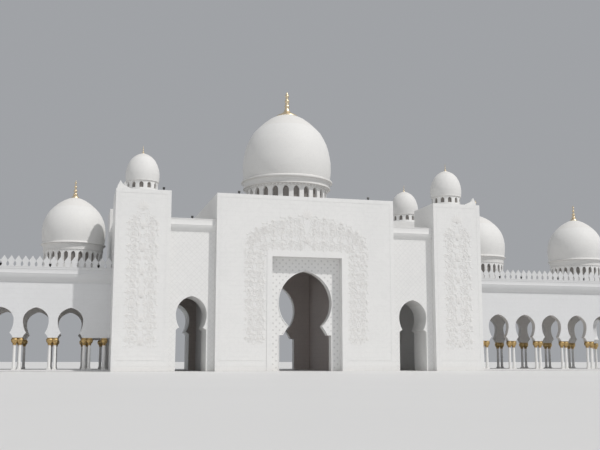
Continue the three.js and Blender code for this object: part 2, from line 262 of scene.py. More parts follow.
arcadeLook = shades(marbleLook, (0.72, 0.727, 0.736), (0.665, 0.672, 0.68))
looks = {
    "wall": marble("wallMarble"),
    "lattice": marble("latticeMarble", pattern=diamondLattice(0.07, 0.06), depth=0.2),
    "stars": marble("starMarble", pattern=starDots(0.087, 0.12), depth=0.62, panels=False),
    "smooth": marble("turnedMarble", panels=False),
    "arcade": marble("arcadeMarble", arcadeLook),
    # the cornice and merlons take a darker arcade marble: partly their own tone, partly painted shade under the
    # cornice
    "arcadeSmooth": marble("arcadeTurnedMarble", shades(
        arcadeLook, (0.668, 0.674, 0.68), (0.615, 0.62, 0.627)), panels=False),
    "cornice": marble("corniceMarble", shades(
        marbleLook, (0.755, 0.755, 0.747), (0.7, 0.7, 0.69)), panels=False),
    "dome": marble("domeMarble", shades(
        marbleLook, (0.742, 0.74, 0.727), (0.69, 0.69, 0.68), rough=0.52, shine=0.15,
        panelWide=0.08, panelHigh=0.05, jointDepth=0.12)),
    "relief": marble("carvedMarble", shades(
        marbleLook, (0.79, 0.784, 0.77), (0.735, 0.728, 0.712), rough=0.52), panels=False),
    # the inner, aisle and hall stones are darker than the marble as painted shade of the faces inside and
    # behind
    "inner": innerStone("shadedStone"),
    "aisle": innerStone("aisleShadedStone", shades(
        stoneLook, (0.7, 0.68, 0.66), (0.62, 0.6, 0.58), joint=tone(0.44, 0.425, 0.41))),
    "hall": innerStone("hallShadedStone", shades(
        stoneLook, (0.745, 0.69, 0.665), (0.67, 0.615, 0.59), joint=tone(0.55, 0.515, 0.49))),
    "roof": innerStone("roofStone", shades(
        stoneLook, (0.52, 0.51, 0.495), (0.44, 0.43, 0.415), joint=tone(0.34, 0.33, 0.315), panelHigh=0.12)),
    "gilt": gilt("giltMetal"),
    "paleGilt": gilt("paleGiltMetal", shades(giltLook, (0.79, 0.67, 0.475), (0.52, 0.42, 0.285))),
    "glass": darkGlass("darkGlass"),
    "lamp": gilt("darkMetal", shades(giltLook, (0.05,), (0.03,))),
}
print("looks made")


# Mesh work
def placed(axes, a, b, depth):
    return {"xz": (a, depth, b), "yz": (depth, a, b), "xy": (a, b, depth)}[axes]


# A place on a circle about an upright axis, turned from the front
def around(radius, turn, height):
    return radius * math.sin(turn), -radius * math.cos(turn), height


def addSides(bm, first, second):
    for i in range(len(first)):
        j = (i + 1) % len(first)
        bm.faces.new((first[i], first[j], second[j], second[i]))


def addExtrusion(bm, outline, start, end, axes="xz"):
    ends = [[bm.verts.new(placed(axes, a, b, depth)) for a, b in outline] for depth in (start, end)]
    caps = [bm.faces.new(ring) for ring in ends]
    addSides(bm, *ends)
    for cap in caps:
        cap.normal_update()
    if len(outline) > 4:
        bmesh.ops.triangulate(bm, faces=caps, ngon_method="EAR_CLIP")


def addBox(bm, low, high):
    outline = [(low[0], low[2]), (high[0], low[2]), (high[0], high[2]), (low[0], high[2])]
    addExtrusion(bm, outline, low[1], high[1])


# A profile of (radius, height) turned about an upright axis, closed on itself or on the axis
def addTurned(bm, profile, segments, swell=None, closed=False):
    rings = []
    for radius, height in profile:
        turns = [2 * math.pi * i / segments for i in range(segments if radius > 1e-6 else 1)]
        rings.append([bm.verts.new(around(radius * (swell(turn, height) if swell else 1), turn, height))
                      for turn in turns])
    for lower, upper in zip(rings, rings[1:] + (rings[:1] if closed else [])):
        for i in range(segments):
            j = (i + 1) % segments
            corners = dict.fromkeys([lower[i % len(lower)], lower[j % len(lower)],
                                     upper[j % len(upper)], upper[i % len(upper)]])
            if len(corners) > 2:
                bm.faces.new(list(corners))


# Rows of corners joined into one closed skin, either capped or running round to its start
def addSkin(bm, strips, ring=False):
    for first, second in zip(strips, strips[1:] + (strips[:1] if ring else [])):
        addSides(bm, first, second)
    if not ring:
        bm.faces.new(strips[0])
        bm.faces.new(strips[-1])


def finishMesh(bm, name, degrees=32):
    bmesh.ops.recalc_face_normals(bm, faces=bm.faces)
    mesh = bpy.data.meshes.new(name)
    bm.to_mesh(mesh)
    bm.free()
    mesh.polygons.foreach_set("use_smooth", [True] * len(mesh.polygons))
    mesh.set_sharp_from_angle(angle=math.radians(degrees))
    return mesh


def extruded(name, outline, start, end, axes="xz"):
    bm = bmesh.new()
    addExtrusion(bm, outline, start, end, axes)
    return finishMesh(bm, name)


def turned(name, profile, segments, degrees=32, closed=False):
    bm = bmesh.new()
    addTurned(bm, profile, segments, closed=closed)
    return finishMesh(bm, name, degrees)


def newObject(name, data, place=(0, 0, 0)):
    thing = bpy.data.objects.new(name, data)
    thing.location = place
    bpy.context.scene.collection.objects.link(thing)
    return thing


def addPiece(name, mesh, lookNames, replaced=(), place=(0, 0, 0)):
    piece = newObject(name, mesh, place)
    if not mesh.materials:
        for look in lookNames:
            mesh.materials.append(looks[look])
    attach(piece, "root")
    if replaced:
        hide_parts(*replaced)


def flipped(mesh, name, x, y=1):
    other = mesh.copy()
    other.name = name
    other.transform(Matrix.Diagonal((x, y, 1, 1)))
    if x * y < 0:
        other.flip_normals()
    return other


def titled(label):
    return label.title().replace("_", "")


# The same mesh at several spots, whose labels go into the names of piece and CAD node
def addCopies(name, mesh, spots, lookNames, node=None, place=(0, 0)):
    for label, x, y in spots:
        copyName = name.format(titled(label))
        addPiece(copyName, flipped(mesh, copyName, x, y), lookNames,
                 [node.format(label)] if node else (), (x * place[0], y * place[1], 0))


# Copies of one mesh at several places
def joined(name, mesh, places):
    bm = bmesh.new()
    for place in places:
        before = len(bm.verts)
        bm.from_mesh(mesh)
        bm.verts.ensure_lookup_table()
        bmesh.ops.translate(bm, verts=bm.verts[before:], vec=place)
    return finishMesh(bm, name, 45)


def curveBetween(first, last, bulge, steps):
    middle = [(a + b) / 2 + shift for a, b, shift in zip(first, last, bulge)]
    return [[(1 - t) ** 2 * a + 2 * t * (1 - t) * m + t * t * b for a, m, b in zip(first, middle, last)]
            for t in [i / steps for i in range(1, steps)]]


# The keyhole from its left foot over the apex to its right foot
def keyhole(arch, centre, floor):
    half, widest, steps, shoulder = arch["half"], arch["widest"], arch["steps"], arch["shoulder"]
    right = [(arch["jamb"], floor), (arch["jamb"], shoulder), (arch["shoulderHalf"], shoulder)]
    right = list(dict.fromkeys(right))
    right += curveBetween(right[-1], (arch["neckHalf"], arch["neck"]), arch["flare"], 6)
    dip = math.acos(arch["neckHalf"] / half)
    reach = (widest - arch["neck"]) / math.sin(dip)
    for i in range(steps):
        turn = -dip * (1 - i / steps)
        right.append((half * math.cos(turn), widest + reach * math.sin(turn)))
    rise = arch["apex"] - widest
    offset = arch.get("point", (rise * rise - half * half) / (2 * half))
    top = math.acos(offset / (half + offset))
    for i in range(steps):
        turn = top * i / steps
        right.append(((half + offset) * math.cos(turn) - offset,
                      widest + rise * math.sin(turn) / math.sin(top)))
    return ([(centre - x, z) for x, z in right] + [(centre, arch["apex"])]
            + [(centre + x, z) for x, z in reversed(right)])


def pierced(low, high, foot, top, arches):
    return [(low, foot)] + sum(arches, []) + [(high, foot), (high, top), (low, top)]


def innerFaces(mesh, test, index=1):
    for face in mesh.polygons:
        if test(face.center, face.normal):
            face.material_index = index


# Walls with arches: a darker stone on the back, painted shade of the inside, and a third in the reveals
def dressArches(mesh):
    innerFaces(mesh, lambda centre, normal: normal.y > 0.7)
    innerFaces(mesh, lambda centre, normal: abs(normal.y) < 0.5, 2)


# Camera, light and floor
cameraSet = {
    "place": (-2.996, -12.22, 0.137), "yaw": 14.66, "pitch": 8.72, "roll": -0.045, "focalPixels": 882.7,
    "photoWide": 600, "sensor": 36, "farthest": 300,
}
lightSet = {
    "sunAcross": 44, "sunUp": 53.6, "sunPower": 2.4, "sunSoft": 1.2, "sunColor": (1, 0.975, 0.95),
    "fillAcross": -35, "fillUp": 22, "fillPower": 0.42, "fillSoft": 100, "fillColor": (1, 0.975, 0.945),
    "skyColor": (0.352, 0.363, 0.382, 1), "skyPower": 1,
}
floorSet = {
    "light": tone(0.675, 0.675, 0.67), "dark": tone(0.55), "cloudy": 0.15, "rough": 0.6, "roughSwing": 0.1,
    "bump": 0.0001, "half": 60, "under": 0.0005,
}


def makeCamera(s=cameraSet):
    data = bpy.data.cameras.new("photoCamera")
    data.sensor_width = s["sensor"]
    data.lens = s["focalPixels"] * s["sensor"] / s["photoWide"]
    data.clip_end = s["farthest"]
    camera = newObject("photoCamera", data, s["place"])
    camera.rotation_euler = (math.radians(90 + s["pitch"]), math.radians(s["roll"]), math.radians(-s["yaw"]))
    bpy.context.scene.camera = camera


def makeLight(s=lightSet):
    for name in ("sun", "fill"):
        data = bpy.data.lights.new(name, "SUN")
        data.energy = s[name + "Power"]
        data.color = s[name + "Color"]
        data.angle = math.radians(s[name + "Soft"])
        across, up = math.radians(s[name + "Across"]), math.radians(s[name + "Up"])
        toLamp = Vector(around(math.cos(up), across, math.sin(up)))
        newObject(name, data).rotation_euler = toLamp.to_track_quat("Z", "Y").to_euler()
    world = bpy.data.worlds.new("plainSky")
    world.use_nodes = True
    backdrop = world.node_tree.nodes["Background"]
    backdrop.inputs[0].default_value = s["skyColor"]
    backdrop.inputs[1].default_value = s["skyPower"]
    bpy.context.scene.world = world
    bpy.context.scene.view_settings.view_transform = "Standard"


def makeFloor(s=floorSet):
    half = s["half"]
    bm = bmesh.new()
    corners = [(-half, -half), (half, -half), (half, half), (-half, half)]
    bm.faces.new([bm.verts.new((x, y, -s["under"])) for x, y in corners])
    mesh = finishMesh(bm, "floor")
    material, place = newLook("paleFloor")
    cloud = place.noise(0.8, 3)
    closeLook(s, (cloud * s["cloudy"]).blend(s["light"], s["dark"]), cloud, cloud)
    mesh.materials.append(material)
    floor = newObject("floor", mesh)


makeCamera()
makeLight()
makeFloor()
print("camera, light and floor ready")


# CAD walls that keep their shape
plainWalls = {
    "wall": ["gate_front_wall", "gate_back_wall", "gate_side_wall_left", "gate_side_wall_right",
             "side_wall_left", "side_wall_right"] + ["tower_" + label for label, x, y in fourCorners],
    # the hall walls and the arcade roofs take the darker stones, painted shade of the inside
    "hall": ["hall_wall_left", "hall_wall_right"],
    "roof": ["gate_roof", "bay_roof_left", "bay_roof_right"],
    "aisle": ["arcade_left_roof", "arcade_right_roof"],
}


def dressNodes():
    for look, names in plainWalls.items():
        for name in names:
            materials = nodes[name].data.materials
            materials.clear()
            materials.append(looks[look])


dressNodes()


# Keyhole screens of the portal
portalSet = {
    "arch": {"half": 0.357, "widest": 0.88, "apex": 1.295, "neckHalf": 0.225, "neck": 0.58,
             "flare": (0.012, -0.012), "shoulderHalf": 0.3, "shoulder": 0.46, "jamb": 0.35, "steps": 22},
}


def portalScreens(s=portalSet):
    low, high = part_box("portal_front_screen")
    outline = pierced(low.x, high.x, low.z, high.z, [keyhole(s["arch"], 0, 0)])
    mesh = extruded("portalScreen", outline, low.y, high.y)
    dressArches(mesh)
    addCopies("portalScreen{}", mesh, frontBack, ["stars", "hall", "smooth"], "portal_{}_screen")


trimSet = {
    "recessHalf": 0.47, "recessTop": 1.47, "borderWide": 0.07, "borderReach": 0.005, "margin": 0.045,
    "lineWide": 0.006, "lineReach": 0.002, "lineFoot": 0.137, "lineTop": 2.225, "beadWide": 0.012,
    "beadReach": 0.006, "beadShape": [(0, 0), (0.8, 0.1), (1, 0.5), (0.8, 0.9), (0, 1)],
}


# A rounded bead laid along an outline, on the side away from the opening
def addBead(bm, path, faceY, s):
    strips = []
    for i, (a, b) in enumerate(path):
        before, after = path[max(i - 1, 0)], path[min(i + 1, len(path) - 1)]
        run = Vector((after[0] - before[0], 0, after[1] - before[1])).normalized()
        near, lift = Vector((a, faceY, b)), Vector((0, -s["beadReach"], 0))
        out = Vector((-run.z, 0, run.x)) * s["beadWide"]
        strips.append([bm.verts.new(near + lift * high + out * across) for high, across in s["beadShape"]])
    addSkin(bm, strips)


# A thin flat frame on a wall, given by its outer corners and the width of its strips
def addFrame(bm, low, high, faceY, wide, reach, openFoot=False):
    (a0, b0), (a1, b1) = low, high
    strips = []
    for a, b, da, db in ((a0, b0, 1, 1), (a0, b1, 1, -1), (a1, b1, -1, -1), (a1, b0, -1, 1)):
        inA, inB = a + da * wide, b if openFoot and b == b0 else b + db * wide
        section = ((a, 0, b), (a, reach, b), (inA, reach, inB), (inA, 0, inB))
        strips.append([bm.verts.new((x, faceY - y, z)) for x, y, z in section])
    addSkin(bm, strips, ring=not openFoot)


# The thin line that runs round a wall panel
def addLine(bm, low, high, s, openFoot):
    addFrame(bm, (low.x + s["margin"], s["lineFoot"]), (high.x - s["margin"], s["lineTop"]), low.y,
             s["lineWide"], s["lineReach"], openFoot)


def wallTrim(s=trimSet):
    low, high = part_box("gate_front_wall")
    edge, top = s["recessHalf"] + s["borderWide"], s["recessTop"] + s["borderWide"]
    bm = bmesh.new()
    addFrame(bm, (-edge, 0), (edge, top), low.y, s["borderWide"], s["borderReach"], True)
    addBead(bm, keyhole(portalSet["arch"], 0, 0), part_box("portal_front_screen")[0].y, s)
    addLine(bm, low, high, s, True)
    foot, far = s["lineFoot"], high.x - s["margin"] - s["lineWide"]
    for a, b in ((-far, -edge), (edge, far)):
        addBox(bm, (a, low.y - s["lineReach"], foot), (b, low.y, foot + s["lineWide"]))
    addCopies("gateTrim{}", finishMesh(bm, "gateTrim"), frontBack, ["smooth"])
    bm = bmesh.new()
    addLine(bm, *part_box("tower_front_right"), s, False)
    addCopies("towerTrim{}", finishMesh(bm, "towerTrim"), fourCorners, ["smooth"])


portalScreens()
wallTrim()
print("portal made")


# Carved ornament: leaves, rosettes and stems raised from a wall, drawn in metres of the real building.
# A place on the wall is one complex number, along and up
reliefSet = {
    "wave": 2.35, "swing": 0.42, "stemWide": 0.07, "stemHigh": 0.03, "leafLong": 0.44, "leafWide": 0.19,
    "leafHigh": 0.042, "rosette": 0.29, "petals": 8, "spiralTurns": 1.15, "sunk": 0.015, "seed": 11,
    "step": 0.11, "sprigGap": 0.46, "sprigLong": 0.27, "sprigWide": 0.15, "sprigHigh": 0.033,
}
leafShape = [(0, 0.14, 0.4), (0.25, 0.82, 0.95), (0.52, 1, 1), (0.8, 0.6, 0.7), (1, 0.08, 0.15)]


def carve(bm, at, height):
    return bm.verts.new((at.real * metre, -height * metre, at.imag * metre))


# A ridge over the wall: each point with its way out to one edge and its height
def addRidge(bm, points):
    low = -reliefSet["sunk"]
    addSkin(bm, [[carve(bm, at + out, low), carve(bm, at, high), carve(bm, at - out, low)]
                 for at, out, high in points])


def addLeaf(bm, at, turn, long, wide, high, bend=0):
    addRidge(bm, [(at + cmath.rect(long * share, turn + bend * share / 2),
                   1j * cmath.rect(wide * broad / 2, turn + bend * share), high * rise)
                  for share, broad, rise in leafShape])


def headingAt(points, i, reach=2):
    return cmath.phase(points[min(i + reach, len(points) - 1)] - points[max(i - reach, 0)])


def addStem(bm, points, wide, high):
    tapers = [wide / 2 * (1 - 0.55 * i / len(points)) for i in range(len(points))]
    addRidge(bm, [(points[i], 1j * cmath.rect(taper, headingAt(points, i, 1)), high)
                  for i, taper in enumerate(tapers)])


def addRosette(bm, at, radius, s, turn=0):
    for i in range(s["petals"]):
        angle = turn + 2 * math.pi * i / s["petals"]
        addLeaf(bm, at + cmath.rect(radius * 0.22, angle), angle, radius * 0.82, radius * 0.62,
                s["leafHigh"] * 0.9)
    spokes = [cmath.rect(radius, turn + math.pi * i / 4) for i in range(8)]
    foot = [carve(bm, at + spoke * 0.34, -s["sunk"]) for spoke in spokes]
    brow = [carve(bm, at + spoke * 0.26, s["leafHigh"] * 1.1) for spoke in spokes]
    peak = carve(bm, at, s["leafHigh"] * 1.45)
    bm.faces.new(foot)
    addSides(bm, foot, brow)
    for first, second in zip(brow, brow[1:] + brow[:1]):
        bm.faces.new((first, second, peak))


def addPalmette(bm, at, size, leaves, spread, s):
    for i in range(leaves):
        share = i / (leaves - 1) - 0.5
        long = size * (1 - 0.9 * abs(share) ** 1.4)
        addLeaf(bm, at, math.pi / 2 + share * spread, long, size * 0.24, s["leafHigh"] * 1.1, share * 0.9)
    addRosette(bm, at, size * 0.22, s)


# Small three-leaved sprigs that fill the ground between the scrolls
def addSprigs(bm, low, high, s, rng):
    gap = s["sprigGap"]
    for row in range(int((high.imag - low.imag) / gap)):
        for column in range(int((high.real - low.real) / gap)):
            at = low + gap * complex(column + rng.uniform(0.15, 0.85), row + rng.uniform(0.15, 0.85))
            turn, long = rng.uniform(0, 2 * math.pi), s["sprigLong"] * rng.uniform(0.8, 1.15)
            if s["inside"](at.real, at.imag):
                for i in range(3):
                    addLeaf(bm, at, turn + 2.1 * i, long, s["sprigWide"], s["sprigHigh"], 0.7)


# Points at equal steps along a path of straight runs and bends
def evenPath(path, step):
    points, left = [path[0]], step
    for first, last in zip(path, path[1:]):
        long, done = abs(last - first), 0
        while long - done >= left:
            done += left
            points.append(first + (last - first) * done / long)
            left = step
        left -= long - done
    return points


# A waving stem with a spiral in each bend, leaves along it and a rosette at its heart
def scrollAlong(bm, path, s, rng, phase=1):
    step = s["step"]
    points = evenPath(path, step)
    total = (len(points) - 1) * step
    waves = max(round(total / s["wave"] * 2), 1)
    halfWave = total / waves
    stem = []
    for i, at in enumerate(points):
        off = phase * s["swing"] * math.sin(math.pi * i * step / halfWave)
        stem.append(at + 1j * cmath.rect(off, headingAt(points, i)))
    addStem(bm, stem, s["stemWide"], s["stemHigh"])
    for k in range(waves):
        middle = min(round((k + 0.5) * halfWave / step), len(points) - 1)
        side = phase * (1 if k % 2 == 0 else -1)
        run = cmath.rect(1, headingAt(points, middle))
        out = 1j * run * side
        heart = points[middle] - out * s["swing"] * 0.32
        outer = min(halfWave * 0.5, s["swing"] * 1.35)
        spiral, count = [], 22
        for i in range(count):
            share = i / (count - 1)
            turn = 0.5 - share * 2 * math.pi * s["spiralTurns"]
            spiral.append(heart + outer * (1 - 0.62 * share) * (math.cos(turn) * run + math.sin(turn) * out))
        addStem(bm, spiral, s["stemWide"] * 0.8, s["stemHigh"])
        addRosette(bm, heart, s["rosette"] * rng.uniform(0.9, 1.08), s, rng.uniform(0, 1))
        for i in (3, 6, 9, 12, 15):
            lean, away = cmath.phase(spiral[i + 1] - spiral[i]), cmath.phase(spiral[i] - heart)
            long = s["leafLong"] * rng.uniform(0.8, 1.05) * (1 - 0.02 * i)
            turn = away + math.remainder(lean - away, 2 * math.pi) * 0.4
            addLeaf(bm, spiral[i], turn, long, s["leafWide"], s["leafHigh"], 0.5 * side)
        for i in range(-2, 3):
            long = s["leafLong"] * (1.1 - 0.14 * abs(i)) * rng.uniform(0.92, 1.05)
            addLeaf(bm, stem[middle], cmath.phase(out) + i * 0.52, long, s["leafWide"] * 0.9, s["leafHigh"],
                    0.25 * i)
        turnAt = min(round((k + 1) * halfWave / step), len(stem) - 1)
        for lean in (0.9, -0.9):
            addLeaf(bm, stem[turnAt], headingAt(stem, turnAt) + lean, s["leafLong"] * 0.7, s["leafWide"] * 0.8,
                    s["leafHigh"] * 0.8, -lean * 0.5)


def roundedCorner(first, corner, last, radius, count=8):
    into, away = (corner - first) / abs(corner - first), (last - corner) / abs(last - corner)
    centre = corner + (away - into) * radius
    turns = [math.pi / 2 * i / count for i in range(count + 1)]
    bend = [centre + radius * (into * math.sin(turn) - away * math.cos(turn)) for turn in turns]
    return [first, *bend, last]


def crownArc(wide, foot, high, first=24, last=87, steps=39):
    turns = [math.radians(first + (last - first) * i / steps) for i in range(steps + 1)]
    return [complex(wide * math.cos(turn), foot + high * math.sin(turn)) for turn in turns]


# Right halves: scrolls with phase, palmettes with size, leaves and spread, and the ground of the sprigs
towerReliefSet = {
    **reliefSet, "wave": 2.9, "swing": 0.5, "rosette": 0.33, "leafLong": 0.52, "leafWide": 0.21,
    "scrolls": [([1.08 + 3.2j, 1.08 + 19.2j], -1)],
    "palmettes": [(complex(0.05, high), 1, 5, 1.3) for high in (3.3, 6.2, 9.1, 12, 14.9, 17.8)]
                 + [(0.02 + 20.2j, 1.25, 9, 2.4)],
    "ground": (0.12 + 2.9j, 2.3 + 20.6j),
    "inside": lambda a, b: a < 1.8 + 0.3 * math.sin(2.2 * b) and b < 20.9 - 1.25 * a,
}
portalReliefSet = {
    **reliefSet, "seed": 12,
    "scrolls": [(roundedCorner(6.35 + 3.6j, 6.35 + 16.3j, 0.3 + 16.3j, 1.45), 1),
                (roundedCorner(7.6 + 3.6j, 7.6 + 17.95j, 0.3 + 17.95j, 2.6), -1),
                (crownArc(8.6, 14.6, 4.95), 1)],
    "palmettes": [(0.02 + 19.9j, 1.25, 9, 2.5), (0.02 + 16.6j, 0.95, 7, 2)],
    "ground": (0.12 + 3.3j, 8.9 + 19.8j),
    "inside": lambda a, b: (a > 5.7 or b > 15.75) and math.hypot(
        a / (7.5 + 0.1 * min(b - 3.3, 11) + 0.25 * math.sin(1.7 * b)), max(b - 14.4, 0) / 5.25) < 1,
}


# One half, then both in one mesh
def carvedRelief(name, s):
    rng = random.Random(s["seed"])
    bm = bmesh.new()
    for path, phase in s["scrolls"]:
        scrollAlong(bm, path, s, rng, phase)
    for palmette in s["palmettes"]:
        addPalmette(bm, *palmette, s)
    addSprigs(bm, *s["ground"], s, rng)
    half = finishMesh(bm, name + "Half", 60)
    bm = bmesh.new()
    bm.from_mesh(half)
    bm.from_mesh(flipped(half, name + "Other", -1))
    return finishMesh(bm, name, 60)


def middleOf(node):
    low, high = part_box(node)
    return (low + high) / 2


def reliefs():
    wall, tower = [(middleOf(node).x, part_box(node)[0].y) for node in ("gate_front_wall", "tower_front_right")]
    addCopies("portalRelief{}", carvedRelief("portal", portalReliefSet), frontBack, ["relief"], place=wall)
    addCopies("towerRelief{}", carvedRelief("tower", towerReliefSet), fourCorners, ["relief"], place=tower)


reliefs()
print("carved ornament made")


# The underside of a cornice from the wall out to the foot of its fascia, as way out and height
def corniceSwell(reach, foot, fascia, wallLean=52, topLean=13, steps=11):
    out, up = [0], [0]
    for i in range(steps):
        lean = math.radians(wallLean + (topLean - wallLean) * (i + 0.5) / steps)
        out.append(out[-1] + math.sin(lean))
        up.append(up[-1] + math.cos(lean))
    swell = [(reach * x / out[-1], foot + (fascia - foot) * z / up[-1]) for x, z in zip(out, up)]
    return swell + [(reach + 0.002, fascia + 0.004), (reach, fascia + 0.008)]


# Recessed bays with their passages and cornices
baySet = {
    "arch": {"half": 0.195, "widest": 0.71, "apex": 0.942, "neckHalf": 0.15, "neck": 0.542,
             "flare": (0.008, 0.008), "shoulderHalf": 0.193, "shoulder": 0.51, "jamb": 0.193, "steps": 18},
    "passageTop": 1.06, "passageDepth": 0.445, "wallThick": 0.09, "recess": 0.055, "reach": 0.038,
    "fasciaDrop": 0.085, "corniceDrop": 0.159,
}


def bayWalls(s=baySet):
    low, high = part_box("bay_wall_front_right")
    face, head, top, reach = low.y + s["recess"], s["passageTop"], high.z, s["reach"]
    back, foot = face + s["wallThick"], top - s["corniceDrop"]
    bm = bmesh.new()
    outline = pierced(low.x, high.x, 0, head, [keyhole(s["arch"], (low.x + high.x) / 2, 0)])
    addExtrusion(bm, outline, face, face + s["passageDepth"])
    addBox(bm, (low.x, face, head), (high.x, back, foot))
    wall = finishMesh(bm, "bayWall")
    dressArches(wall)
    edge = corniceSwell(reach, foot, top - s["fasciaDrop"]) + [
        (reach, top - 0.012), (reach + 0.003, top - 0.01), (reach + 0.003, top)]
    profile = [(back, foot)] + [(face - out, z) for out, z in edge] + [(back, top)]
    cornice = extruded("bayCornice", profile, low.x, high.x, "yz")
    addCopies("bayWall{}", wall, fourCorners, ["lattice", "inner", "smooth"], "bay_wall_{}")
    addCopies("bayCornice{}", cornice, fourCorners, ["cornice"], "bay_wall_{}")


bayWalls()
print("bays made")


# Domes on drums with arched windows
mainDomeSet = {
    "node": "main_dome", "drum": 0.575, "thick": 0.045, "windows": 24, "half": 0.0425,
    "sill": 2.36, "spring": 2.485, "peak": 2.54, "segments": 96, "dentils": 72,
    "bed": 2.552, "lowLip": (0.632, 2.588), "highLip": (0.66, 2.685), "lip": 0.015, "neck": 0.62,
    "profile": [(0.625, 2.715), (0.634, 2.78), (0.639, 2.84), (0.64, 2.9), (0.637, 2.97), (0.62, 3.075),
                (0.605, 3.15), (0.58, 3.23), (0.543, 3.31), (0.499, 3.39), (0.431, 3.465), (0.348, 3.545),
                (0.254, 3.617), (0.172, 3.66), (0.1, 3.687), (0, 3.7)],
}
towerDomeSet = {
    "node": "tower_dome_front_right", "drum": 0.2, "thick": 0.025, "windows": 12, "half": 0.027, "turned": -8,
    "sill": 2.325, "spring": 2.373, "peak": 2.4, "segments": 48, "dentils": 36,
    "bed": 2.406, "lowLip": (0.207, 2.412), "highLip": (0.214, 2.424), "lip": 0.003, "neck": 0.2125,
    "profile": [(0.2135, 2.436), (0.217, 2.47), (0.219, 2.505), (0.2185, 2.535), (0.21, 2.59), (0.1885, 2.656),
                (0.158, 2.712), (0.115, 2.758), (0.066, 2.788), (0.024, 2.804), (0, 2.81)],
}
arcadeDomeSet = {
    "node": "arcade_dome_right_1", "drum": 0.387, "thick": 0.03, "windows": 26, "half": 0.0275,
    "sill": 1.385, "spring": 1.51, "peak": 1.548, "segments": 72, "dentils": 60,
    "bed": 1.562, "lowLip": (0.396, 1.58), "highLip": (0.423, 1.668), "lip": 0.006, "neck": 0.405,
    "profile": [(0.406, 1.69), (0.414, 1.75), (0.418, 1.82), (0.416, 1.88), (0.407, 1.94), (0.391, 2),
                (0.364, 2.06), (0.325, 2.12), (0.274, 2.175), (0.213, 2.228), (0.147, 2.272), (0.083, 2.302),
                (0.038, 2.314), (0, 2.318)],
}
headShares = [-1, -0.96, -0.85, -0.62, -0.32, 0, 0.32, 0.62, 0.85, 0.96, 1]  # across half a window


# A drum wall whose arched windows are open through it
def addDrum(bm, s, foot, top):
    outer, inner, sill, spring = s["drum"], s["drum"] - s["thick"], s["sill"], s["spring"]
    pitch, halfTurn = 2 * math.pi / s["windows"], s["half"] / s["drum"]
    rises = [spring + (s["peak"] - spring) * (1 - abs(share) ** 1.7) ** 0.62 for share in headShares]

    def addFace(*spots):
        bm.faces.new([bm.verts.new(around(*spot)) for spot in spots])

    def addQuad(radiusA, radiusB, first, second):
        (turnA, lowA, highA), (turnB, lowB, highB) = first, second
        addFace((radiusA, turnA, lowA), (radiusA, turnB, lowB), (radiusB, turnB, highB),
                (radiusB, turnA, highA))

    for window in range(s["windows"]):
        middle = window * pitch + math.radians(s.get("turned", 0))
        turns = [middle + share * halfTurn for share in headShares]
        heads = list(zip(turns, rises))
        pier = [turns[-1] + (pitch - 2 * halfTurn) * i / 3 for i in range(4)]
        for (a, riseA), (b, riseB) in zip(heads, heads[1:]):
            for radius in (outer, inner):
                addQuad(radius, radius, (a, foot, sill), (b, foot, sill))
                addQuad(radius, radius, (a, riseA, top), (b, riseB, top))
            addQuad(outer, inner, (a, sill, sill), (b, sill, sill))
            addQuad(outer, inner, (a, riseA, riseA), (b, riseB, riseB))
        for a, b in zip(pier, pier[1:]):
            for radius in (outer, inner):
                addQuad(radius, radius, (a, foot, top), (b, foot, top))
        for turn in (turns[0], turns[-1]):
            addFace((outer, turn, sill), (inner, turn, sill), (inner, turn, spring), (outer, turn, spring))
    bmesh.ops.remove_doubles(bm, verts=bm.verts, dist=1e-5)


# A low lip, a cove and a high lip: reach and height, each with its share of the lip's thickness
def ringProfile(s):
    (lowReach, lowTop), (highReach, highTop), lip = s["lowLip"], s["highLip"], s["lip"]
    drum, bed, neck, wide, high = s["drum"], s["bed"], s["neck"], highReach - lowReach, highTop - lowTop
    turns = [math.pi / 2 * i / 8 for i in range(9)]
    corners = [
        (drum - s["thick"], 0, bed, 0), (drum, 0.4, bed, 0), (drum, 0.6, bed, 0.5),
        (lowReach, -0.6, lowTop, -1.1), (lowReach, 0, lowTop, -0.9), (lowReach, 0, lowTop, -0.25),
        (lowReach, -0.3, lowTop, 0),
        *[(lowReach + wide * (1 - math.cos(turn)), 0.4 * (1 - math.cos(turn)) - 1,
           lowTop + high * math.sin(turn), -1.7 * math.sin(turn)) for turn in turns],
        (highReach, 0, highTop, -1.5), (highReach, 0, highTop, -0.3), (highReach, -0.3, highTop, 0),
        (neck, 0.2, highTop, 0.8), (neck, 0, highTop, 1.1)]
    return [(reach + lip * out, height + lip * up) for reach, out, height, up in corners]


def addDentils(bm, s):
    root, reach = s["drum"] - 0.002, s["drum"] + (s["lowLip"][0] - s["drum"]) * 0.55
    wide = math.pi * s["drum"] / s["dentils"] * 0.5
    for i in range(s["dentils"]):
        turn = 2 * math.pi * (i + 0.5) / s["dentils"]
        run, out = Vector((math.cos(turn), math.sin(turn))), Vector((math.sin(turn), -math.cos(turn)))
        corners = [(-wide, root), (wide, root), (wide, reach), (-wide, reach)]
        addExtrusion(bm, [run * a + out * b for a, b in corners], s["bed"] - s["lip"] * 0.1,
                     s["bed"] + s["lip"] * 0.9, "xy")


def domeMeshes(s):
    thick, profile = s["thick"], s["profile"]
    bm = bmesh.new()
    addDrum(bm, s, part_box(s["node"])[0].z, s["bed"])
    addDentils(bm, s)
    drum = finishMesh(bm, "drum")
    inside = [(max(r - thick, 0.001), z - thick * 0.8) for r, z in reversed(profile[:-1])]
    skin = ringProfile(s) + profile + [(0, profile[-1][1] - thick)] + inside
    pane, low, high = s["drum"] - thick * 0.7, s["sill"] - 0.004, s["peak"] + 0.004
    strip = [(pane, low), (pane, high), (pane - 0.003, high), (pane - 0.003, low)]
    return {"Drum": drum, "Shell": turned("shell", skin, s["segments"], 40, True),
            "Panes": turned("panes", strip, s["segments"], closed=True)}


